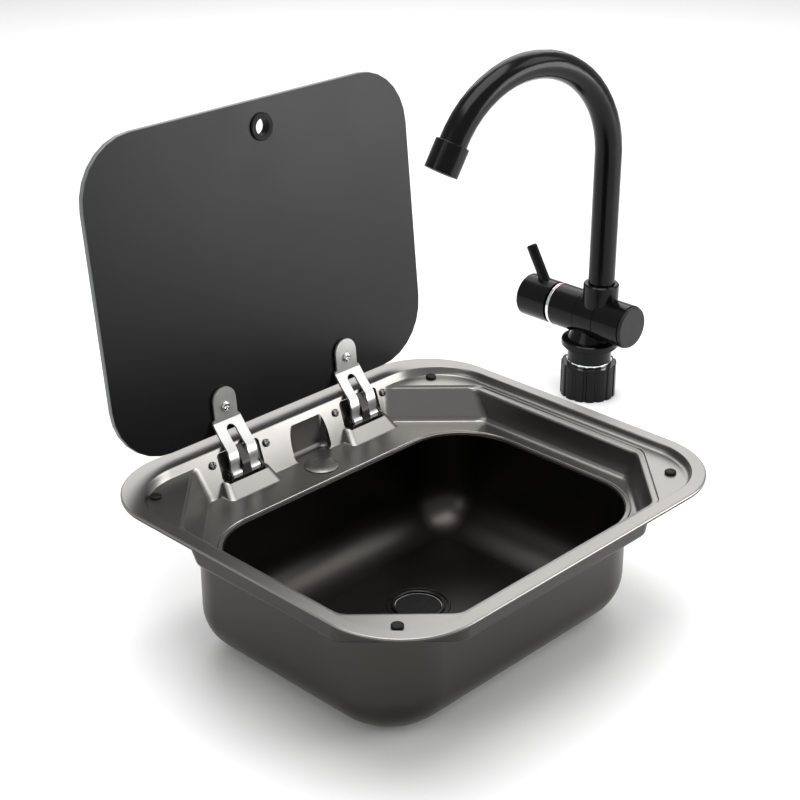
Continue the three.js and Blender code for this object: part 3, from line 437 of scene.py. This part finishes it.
def fillet_loop(corners, radii, steps):
    """Rounds the corners of a convex loop that runs anticlockwise."""
    points = []
    for k, corner in enumerate(corners):
        corner = Vector(corner)
        to_before = (Vector(corners[k - 1]) - corner).normalized()
        to_after = (Vector(corners[(k + 1) % len(corners)]) - corner).normalized()
        half = math.acos(max(-1.0, min(1.0, to_before.dot(to_after)))) / 2
        centre = corner + (to_before + to_after).normalized() * radii[k] / math.sin(half)
        start = corner + to_before * radii[k] / math.tan(half) - centre
        turn = math.pi - 2 * half
        for step in range(steps + 1):
            points.append(centre + Matrix.Rotation(turn * step / steps, 2) @ start)
    return points


def rounded_box(box, grow=0.0, steps=LOOP_STEPS):
    left, right = box["left"] - grow, box["right"] + grow
    front, back = box["front"] - grow, box["back"] + grow
    front_radius = max(box["corner"] + grow, SMALLEST_CORNER)
    back_radius = max(box.get("back_corner", box["corner"]) + grow, SMALLEST_CORNER)
    corners = [(right, front), (right, back), (left, back), (left, front)]
    return fillet_loop(corners, [front_radius, back_radius, back_radius, front_radius], steps)


def circle(radius, centre=(0.0, 0.0), count=ROUND):
    return [
        Vector((centre[0] + radius * math.cos(2 * math.pi * k / count),
                centre[1] + radius * math.sin(2 * math.pi * k / count)))
        for k in range(count)
    ]


def shape_object(shape):
    return link("scratch", baked_mesh(shape, "scratch"))


def join_rings(shape, low, high):
    count = len(low)
    for k in range(count):
        after = (k + 1) % count
        shape.faces.new((low[k], low[after], high[after], high[k]))


def loft(sections):
    """A closed solid through cross-sections with equal numbers of points."""
    shape = bmesh.new()
    rings = [[shape.verts.new(point) for point in section] for section in sections]
    for low, high in zip(rings, rings[1:]):
        join_rings(shape, low, high)
    shape.faces.new(list(reversed(rings[0])))
    shape.faces.new(rings[-1])
    return shape


def stack(levels):
    """A closed solid through level loops of equal length, from the lowest up."""
    return shape_object(loft([[(p.x, p.y, z) for p in loop] for loop, z in levels]))


def prism(loop, low, high):
    return stack([(loop, low), (loop, high)])


def combine(first, others, operation):
    """Joins or cuts solids; the others are used up."""
    for other in others:
        step = first.modifiers.new("step", "BOOLEAN")
        step.operation = operation
        step.solver = "EXACT"
        step.object = other
        graph = bpy.context.evaluated_depsgraph_get()
        baked = bpy.data.meshes.new_from_object(first.evaluated_get(graph))
        first.modifiers.clear()
        first.data = baked
        bpy.data.objects.remove(other)
    return first


def join(first, *others):
    return combine(first, others, "UNION")


def cut(first, *others):
    return combine(first, others, "DIFFERENCE")


def quarter(radius, degrees):
    """Points of a rounded edge, as (distance in from the side, distance in from the face)."""
    angles = [math.radians(d) for d in degrees]
    return [(radius * (1 - math.cos(a)), radius * (1 - math.sin(a))) for a in angles]


# ---------------------------------------------------------------- the pan

def well_loop(inset, depth, lean, grow):
    """The well's outline: straight sides joined by a facet across each corner."""
    half = RECESS["right"] - LEDGE_SIDE - inset + grow
    front = RECESS["front"] + LEDGE_SIDE + inset - grow
    back = slope_y(depth) + grow
    legs = [leg + lean - (2 - math.sqrt(2)) * (inset - grow) for leg in FACET_LEGS]
    corners = [
        (half - legs[0], front), (half, front + legs[0]),
        (half, back - legs[1]), (half - legs[1], back),
        (legs[2] - half, back), (-half, back - legs[2]),
        (-half, front + legs[3]), (legs[3] - half, front),
    ]
    return fillet_loop(corners, [WELL_CORNER] * len(corners), WELL_STEPS)


def well_tub(grow):
    step = LEDGE_DEPTH + STEP_DEPTH
    wall = STEP_WIDTH + WALL_LEAN
    profile = [
        (wall + side, DECK_DEPTH - rise, FACET_LEAN)
        for side, rise in quarter(WALL_FOOT_ROUND, FOOT_DEGREES)
    ]
    profile += [(inset, step + below, 0.0) for inset, below in STEP_PROFILE]
    profile += [(inset, LEDGE_DEPTH + below, 0.0) for inset, below in STEP_EDGE]
    levels = [
        (well_loop(inset, depth, lean, grow), height(depth + grow))
        for inset, depth, lean in profile
    ]
    levels.append((well_loop(0.0, LEDGE_DEPTH, 0.0, grow), height(LEDGE_DEPTH - PAST)))
    return stack(levels)


def recess_loop(inset, depth, grow):
    box = dict(
        left=RECESS["left"] + inset,
        right=RECESS["right"] - inset,
        front=RECESS["front"] + inset,
        back=min(slope_y(depth), RECESS["back"]) - min(inset, 0.0),
        corner=RECESS["corner"] - inset,
    )
    return rounded_box(box, grow)


def recess_tub(grow, top):
    profile = [(inset, LEDGE_DEPTH + below) for inset, below in RECESS_FOOT] + RECESS_EDGE
    levels = [(recess_loop(inset, depth, grow), height(depth + grow)) for inset, depth in profile]
    levels.append((recess_loop(*RECESS_EDGE[-1], grow), height(top)))
    return stack(levels)


def tap_bay(grow):
    deep = DECK_DEPTH + grow
    levels = [
        (rounded_box(BAY, grow - inset, BAY_STEPS), height(deep - rise))
        for rise, inset in quarter(BAY_ROUND, EDGE_DEGREES)
    ]
    levels.append((rounded_box(BAY, grow, BAY_STEPS), height(BAY_TOP - grow)))
    return stack(levels)


def pocket(centre, grow):
    """The raised block in front of a hinge: foot, leaning front and rounded rim."""
    foot = slope_y(DECK_DEPTH) - POCKET_REACH
    rim = POCKET_DEPTH + grow
    profile = [
        (POCKET_HALF + wider, foot + further, DECK_DEPTH - up)
        for wider, further, up in POCKET_FOOT
    ]
    profile.insert(0, (*profile[0][:2], DECK_DEPTH + SHEET + PAST))
    profile += [
        (POCKET_HALF - POCKET_TAPER + wider, foot + POCKET_LEAN + further, rim + down)
        for wider, further, down in POCKET_RIM
    ]
    levels = []
    for half, front, depth in profile:
        box = dict(
            left=centre - half,
            right=centre + half,
            front=front,
            back=RECESS["back"] + POCKET_BEHIND,
            corner=POCKET_CORNER,
        )
        levels.append((rounded_box(box, -grow, SMALL_STEPS), height(depth)))
    return stack(levels)


def flange_plate():
    levels = [(rounded_box(FLANGE), height(RIM_DROP))]
    levels += [
        (rounded_box(FLANGE, -inset), height(depth))
        for inset, depth in quarter(RIM_ROUND, EDGE_DEGREES)
    ]
    under = prism(rounded_box(FLANGE, -SHEET), height(RIM_DROP + PAST), height(SHEET))
    return cut(stack(levels), under)


def through_slope(x, depth, radius):
    """A cutter for a hole square through the sloped wall."""
    cutter = prism(circle(radius, count=SMALL_ROUND), -SCREW_REACH, SCREW_REACH)
    cutter.data.transform(
        Matrix.Translation((x, slope_y(depth), height(depth)))
        @ Matrix.Rotation(math.radians(-90) - SLOPE_TILT, 4, "X")
    )
    return cutter


def hinge_slot(centre):
    outline = dict(
        left=centre - SLOT_HALF,
        right=centre + SLOT_HALF,
        front=height(POCKET_DEPTH + SHEET + SLOT_DROP),
        back=height(SLOT_TOP),
        corner=SLOT_CORNER,
    )
    cutter = prism(
        rounded_box(outline, 0.0, SMALL_STEPS),
        slope_y(DECK_DEPTH) - SLOT_REACH["front"],
        RECESS["back"] + SLOT_REACH["back"],
    )
    swap_y_and_z = Matrix(((1, 0, 0, 0), (0, 0, 1, 0), (0, 1, 0, 0), (0, 0, 0, 1)))
    cutter.data.transform(swap_y_and_z)
    cutter.data.flip_normals()
    return cutter


def cavity(grow):
    pockets = [pocket(centre, grow) for centre in HINGE_CENTRES.values()]
    return cut(join(well_tub(grow), tap_bay(grow)), *pockets)


def mouth_bead():
    """The low raised line round the bowl's mouth, let into the deck by its own height."""
    width = BEAD_TOP[-1][0]
    sides = [(0.0, -BEAD_HEIGHT)]
    sides += [(reach, BEAD_HEIGHT - drop) for reach, drop in BEAD_TOP]
    sides.append((width, -BEAD_HEIGHT))
    shape = bmesh.new()
    rings = []
    for reach, rise in sides:
        loop = rounded_box(MOUTH, BEAD_INSET + reach)
        rings.append([shape.verts.new((p.x, p.y, height(DECK_DEPTH) + rise)) for p in loop])
    for inner, outer in zip(rings, rings[1:] + rings[:1]):
        join_rings(shape, inner, outer)
    bmesh.ops.recalc_face_normals(shape, faces=shape.faces)
    return shape_object(shape)


def round_hole(radius, place, depth, count=ROUND):
    """A cutter for a hole through the flat sheet at a depth."""
    loop = circle(radius, place, count)
    return prism(loop, height(depth + HOLE_REACH), height(depth - HOLE_REACH))


def top_pan():
    pressed = join(flange_plate(), recess_tub(SHEET, 0.0), cavity(SHEET))
    pan = join(cut(pressed, recess_tub(0.0, -PAST), cavity(0.0)), mouth_bead())
    mouth = prism(
        rounded_box(MOUTH, MOUTH_EDGE),
        height(DECK_DEPTH + SHEET + PAST),
        height(DECK_DEPTH - MOUTH_REACH),
    )
    holes = [mouth, round_hole(PLUG_HOLE, PLUG_PLACE, DECK_DEPTH)]
    holes += [hinge_slot(centre) for centre in HINGE_CENTRES.values()]
    holes += [round_hole(BUMPER_HOLE, place, LEDGE_DEPTH, SMALL_ROUND) for place in BUMPER_PLACES]
    holes += [
        through_slope(centre + side * BASE_SCREW_OFFSET, BASE_SCREW_DEPTH, BASE_SCREW_HOLE)
        for centre in HINGE_CENTRES.values() for side in (-1, 1)
    ]
    return cut(pan, *holes)


# ---------------------------------------------------------------- the bowl

def bowl_body(grow, top):
    """Rounded floor, walls, and a back that swells out below the mouth's shoulder."""
    low = dict(MOUTH, back=MOUTH["back"] + BACK_SWELL, back_corner=BOWL_BACK_CORNER)
    levels = []
    for k in range(BOWL_FILLET_STEPS + 1):
        angle = math.radians(90 * k / BOWL_FILLET_STEPS)
        depth = SINK_HEIGHT - SHEET - BOWL_FILLET * (1 - math.cos(angle))
        loop = rounded_box(low, grow - BOWL_FILLET * (1 - math.sin(angle)))
        levels.append((loop, height(depth + grow)))
    for k in range(SHOULDER_STEPS + 1):
        angle = math.radians(90 * k / SHOULDER_STEPS)
        share = math.cos(angle)
        box = dict(MOUTH, back=MOUTH["back"] + BACK_SWELL * share)
        box["back_corner"] = MOUTH["corner"] + (BOWL_BACK_CORNER - MOUTH["corner"]) * share
        depth = SHOULDER_DEPTH + SHOULDER_HEIGHT * (1 - math.sin(angle))
        levels.append((rounded_box(box, grow), height(depth)))
    levels.append((rounded_box(MOUTH, grow), height(top)))
    return stack(levels)


def drain_ring(profile):
    """A round solid about the drain, from (radius, height) pairs."""
    return stack([(circle(radius, DRAIN_PLACE, DRAIN_ROUND), rise) for radius, rise in profile])


def bowl():
    top = DECK_DEPTH + SHEET
    flange = prism(rounded_box(MOUTH, BOWL_FLANGE), height(top + BOWL_FLANGE_THICK), height(top))
    shell = cut(join(bowl_body(SHEET, top), flange), bowl_body(0.0, top - PAST))
    ringed = cut(join(shell, drain_ring(DRAIN_BEAD)), drain_ring(DRAIN_GROOVE))
    return cut(join(ringed, drain_ring(DRAIN_LIP)), drain_ring(DRAIN_CUT))


# ---------------------------------------------------------------- finishing the pressings

def pressing(obj, name, node):
    """A finely drawn pressing, in millimetres, turned into the piece for its node."""
    obj.data.transform(Matrix.Scale(MM, 4))
    mesh = clean_mesh(obj.data, name, PRESSED_WELD, PRESSED_FLAT)
    bpy.data.objects.remove(obj)
    piece = add_piece(name, mesh, node)
    soften(piece, PRESSED_EDGE, PRESSED_ANGLE)
    return piece


def in_bay(point):
    across = BAY["left"] - BAY_MARGIN["side"] < point.x < BAY["right"] + BAY_MARGIN["side"]
    behind = point.y > slope_y(height(point.z)) + BAY_MARGIN["back"]
    return across and behind and point.z < height(BAY_TOP - BAY_MARGIN["top"])


def on_underside(centre, normal):
    """Faces of the pan that look down or outwards, apart from the ones round the hinges."""
    away = normal.x * centre.x + normal.y * centre.y > OUTWARD * math.hypot(centre.x, centre.y)
    between = HINGE_ZONE["front"] < centre.y < HINGE_ZONE["back"]
    by_hinges = abs(centre.x) < HINGE_ZONE["half"] and between
    low = centre.z < height(UNDER_DEPTH) * MM
    return low and (normal.z < DOWNWARD or (away and not by_hinges))


def shade_pan(piece):
    """Paints shade: the pan's underside and the tap bay take darker copies of the sink's steel."""
    mesh = piece.data
    mesh.materials.append(PAINTED_SHADE_STEEL)
    mesh.materials.append(BAY_PAINTED_SHADE_STEEL)
    # Painted shade: darker steel on the pan's underside (1) and in the tap bay (2)
    for face in mesh.polygons:
        if on_underside(face.center, face.normal):
            face.material_index = 1
        elif in_bay(face.center / MM):
            face.material_index = 2


# ---------------------------------------------------------------- small details

def small_piece(name, sections, node, material):
    """A piece in the scene only, on its node's body, from cross-sections in millimetres."""
    shape = loft(sections)
    bmesh.ops.recalc_face_normals(shape, faces=shape.faces)
    mesh = baked_mesh(shape, name)
    mesh.transform(Matrix.Scale(MM, 4))
    return add_piece(name, mesh, node, material)


def ground_edge(piece):
    """The glass has a lighter, ground edge all round and in its holes."""
    mesh = piece.data
    mesh.materials.append(GLASS_EDGE)
    for face in mesh.polygons:
        if abs(face.normal.dot(LID_NORMAL)) < SIDEWAYS:
            face.material_index = 1


def barrel_groove(piece):
    """The fine joint line round the front part of the folding barrel."""
    outer = circle(BARREL_RADIUS + PAST, count=BARREL_ROUND)
    inner = circle(BARREL_RADIUS - GROOVE_DEPTH, count=BARREL_ROUND)
    groove = cut(prism(outer, -GROOVE_WIDTH / 2, GROOVE_WIDTH / 2), prism(inner, -PAST, PAST))
    groove.data.transform(
        Matrix.Scale(MM, 4)
        @ Matrix.Translation((TAP_PLACE[0], TAP_PLACE[1] + GROOVE_OFFSET, BARREL_HEIGHT))
        @ Matrix.Rotation(math.radians(90), 4, "X")
    )
    piece.modifiers.clear()
    material = piece.data.materials[0]
    cut(piece, groove)
    paint(piece, material)
    for face in piece.data.polygons:
        face.use_smooth = True
    soften(piece, GROOVED_EDGE)


def warm_mark():
    """The small coloured arc on the tap's indicator ring."""
    near, far = MARK_RADII
    start, end = MARK_SPAN
    corners = [(near, start), (near, end), (far, end), (far, start)]
    sections = []
    for k in range(MARK_STEPS + 1):
        angle = math.radians(MARK_START + MARK_SWEEP * k / MARK_STEPS)
        sections.append([
            (
                TAP_PLACE[0] - radius * math.cos(angle),
                TAP_PLACE[1] + along,
                BARREL_HEIGHT + radius * math.sin(angle),
            )
            for radius, along in corners
        ])
    small_piece("tap_warm_mark", sections, "tap_indicator_ring", WARM_RED)


def hinge_cover(side, centre):
    """The plate that closes a hinge base's window from behind, so the slot is dark."""
    far = COVER_NEAR + COVER_THICK
    corners = [
        (COVER_TOP, COVER_NEAR), (COVER_FOOT, COVER_NEAR), (COVER_FOOT, far), (COVER_TOP, far),
    ]
    outline = [behind_slope(*corner) for corner in corners]
    sections = [
        [(centre + half, y, z) for y, z in outline] for half in (-COVER_HALF, COVER_HALF)
    ]
    # The plate takes the dark steel of painted shade
    piece = small_piece(f"hinge_cover_{side}", sections, f"hinge_base_{side}", SHADED_STEEL)
    soften(piece, COVER_EDGE)


def refine_node(node):
    """The node's own solid with rounded edges, and its own finish or detail where it has one; hinge
    parts take the dark steel of painted shade.
    """
    mesh = clean_mesh(frame["nodes"][node].data, node + "_fine", NODE_WELD, NODE_FLAT)
    piece = add_piece(node + "_fine", mesh, node)
    soften(piece, NODE_EDGES.get(node, PLAIN_EDGE))
    if node.startswith("base_screw"):
        paint(piece, SCREW_STEEL)
    if node.startswith("hinge_"):
        # Painted shade on the hinge parts
        paint(piece, SHADED_STEEL)
    if node == "glass_lid":
        ground_edge(piece)
    if node == "tap_fold_section":
        barrel_groove(piece)


# ---------------------------------------------------------------- studio

def floor():
    mesh = bpy.data.meshes.new("studio_floor")
    corners = [(x * FLOOR_HALF, y * FLOOR_HALF, 0) for x, y in ((-1, -1), (1, -1), (1, 1), (-1, 1))]
    mesh.from_pydata(corners, [], [(0, 1, 2, 3)])
    obj = link("studio_floor", mesh)
    paint(obj, finish(
        "studio_floor", (0.84, 0.84, 0.838), roughness=0.6, spread=(0.46, 0.54), patches=3.0
    ))


def drain_shade():
    """Painted shadow: a dark disc on the floor below the open drain hole."""
    shape = bmesh.new()
    radius = (DRAIN_HOLE - SHADE_GAP) * MM
    bmesh.ops.create_circle(shape, cap_ends=True, segments=SHADE_ROUND, radius=radius)
    obj = link("drain_shade", baked_mesh(shape, "drain_shade"))
    obj.location = (DRAIN_PLACE[0] * MM, DRAIN_PLACE[1] * MM, SHADE_RISE * MM)
    # The painted shadow is drawn in the black rubber finish
    paint(obj, LOOKS["black_rubber"])


def backdrop():
    world = bpy.data.worlds.new("studio")
    bpy.context.scene.world = world
    world.use_nodes = True
    shader = world.node_tree.nodes["Background"]
    shader.inputs["Color"].default_value = (1.0, 1.0, 1.0, 1.0)
    shader.inputs["Strength"].default_value = WORLD_STRENGTH


def softbox(name, place, width, depth, power):
    light = bpy.data.lights.new(name, "AREA")
    light.shape = "RECTANGLE"
    light.size = width
    light.size_y = depth
    light.energy = power
    obj = link(name, light)
    obj.location = place
    obj.rotation_euler = (LIGHT_TARGET - Vector(place)).to_track_quat("-Z", "Y").to_euler()


def studio():
    bpy.context.scene.view_settings.view_transform = "Standard"
    floor()
    drain_shade()
    backdrop()
    for name, box in SOFTBOXES.items():
        softbox(name, *box)


def camera():
    data = bpy.data.cameras.new("camera")
    data.lens = CAMERA_LENS
    data.sensor_width = CAMERA_SENSOR
    data.sensor_fit = "HORIZONTAL"
    obj = link("camera", data)
    forward = Vector((
        math.cos(CAMERA_PITCH) * math.sin(CAMERA_YAW),
        math.cos(CAMERA_PITCH) * math.cos(CAMERA_YAW),
        -math.sin(CAMERA_PITCH),
    ))
    obj.location = CAMERA_PLACE
    obj.rotation_euler = forward.to_track_quat("-Z", "Y").to_euler()
    bpy.context.scene.camera = obj


# ---------------------------------------------------------------- the scene


pan = pressing(top_pan(), "sink_pan", "sink_top_pan")
shade_pan(pan)
basin = pressing(bowl(), "sink_basin", "sink_bowl")
# The whole bowl takes the darker steel of painted shade
paint(basin, PAINTED_SHADE_STEEL)
for node_name in frame["nodes"]:
    if node_name not in ("sink_top_pan", "sink_bowl"):
        refine_node(node_name)
warm_mark()
for hinge_side, hinge_centre in HINGE_CENTRES.items():
    hinge_cover(hinge_side, hinge_centre)
studio()
camera()
